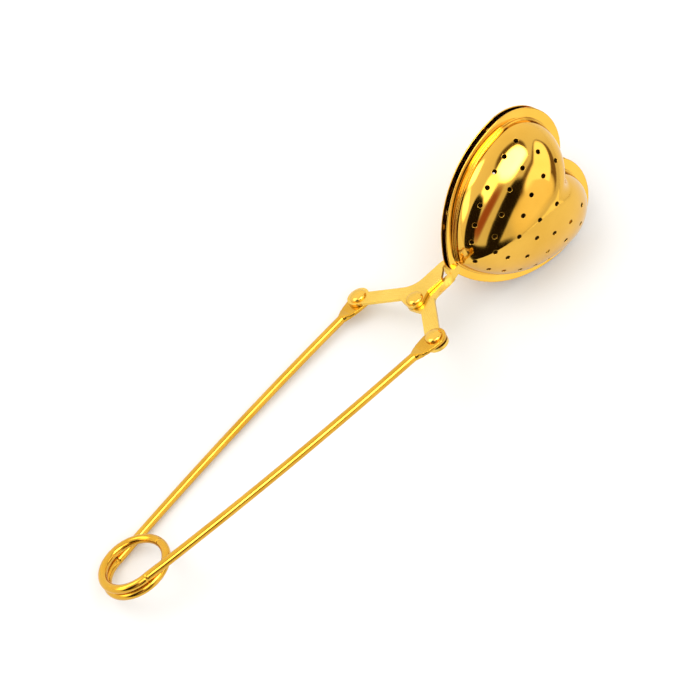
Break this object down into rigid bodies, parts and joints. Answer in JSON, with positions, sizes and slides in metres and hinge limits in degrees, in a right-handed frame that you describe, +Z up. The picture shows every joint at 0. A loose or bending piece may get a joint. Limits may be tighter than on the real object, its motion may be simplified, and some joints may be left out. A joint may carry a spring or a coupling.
{
  "type": "tea infuser",
  "caption": "Spring-wire tongs with two pivoted levers that open and close a pair of perforated heart-shaped half shells",
  "frame": {"origin": "centre of the bounding box, on the table the tongs lie on", "axes": "+X from the coil to the heart, +Z up, the front shell faces up and towards -Y; the tongs lie as they come to rest"},
  "size_m": [0.1758, 0.0364, 0.0392],
  "materials": {
    "wire": "gold-coloured polished stainless wire",
    "lever": "gold-coloured stamped stainless sheet, lightly brushed",
    "rivet": "gold-coloured polished rivet",
    "shell": "gold-coloured mirror-polished drawn stainless sheet"
  },
  "bodies": {
    "coil": {"handle_coil": "wire"},
    "left_grip": {"left_leg": "wire"},
    "right_grip": {"right_leg": "wire"},
    "left_jaw": {"left_lever": "lever", "pivot_rivet": "rivet", "left_handle_rivet": "rivet", "back_shell": "shell"},
    "right_jaw": {"right_lever": "lever", "right_handle_rivet": "rivet", "front_shell": "shell"}
  },
  "joints": [
    {"name": "squeeze", "type": "hinge", "parent": "coil", "child": "left_grip", "pos_m": [-0.0777, -0.00173, 0.00873], "axis": [0.0479, -0.6461, -0.7617], "range_deg": [0, 2.78], "stiffness_Nm_per_rad": 2, "springref_deg": -1.15},
    {"name": "right_squeeze", "type": "hinge", "parent": "coil", "child": "right_grip", "pos_m": [-0.0777, -0.00173, 0.00873], "axis": [-0.0479, 0.6461, 0.7617], "range_deg": [0, 2.79]},
    {"name": "left_jaw_open", "type": "hinge", "parent": "left_grip", "child": "left_jaw", "pos_m": [0.01952, 0.01163, 0.00352], "axis": [-0.0479, 0.6461, 0.7617], "range_deg": [0, 28.85]},
    {"name": "right_jaw_open", "type": "hinge", "parent": "right_grip", "child": "right_jaw", "pos_m": [0.0181, -0.01509, 0.02609], "axis": [0.0479, -0.6461, -0.7617], "range_deg": [0, 28.85]}
  ],
  "couplings": [
    {"joint": "right_squeeze", "follows": "squeeze", "ratio": 1},
    {"joint": "left_jaw_open", "follows": "squeeze", "ratio": 10.36},
    {"joint": "right_jaw_open", "follows": "squeeze", "ratio": 10.36}
  ]
}
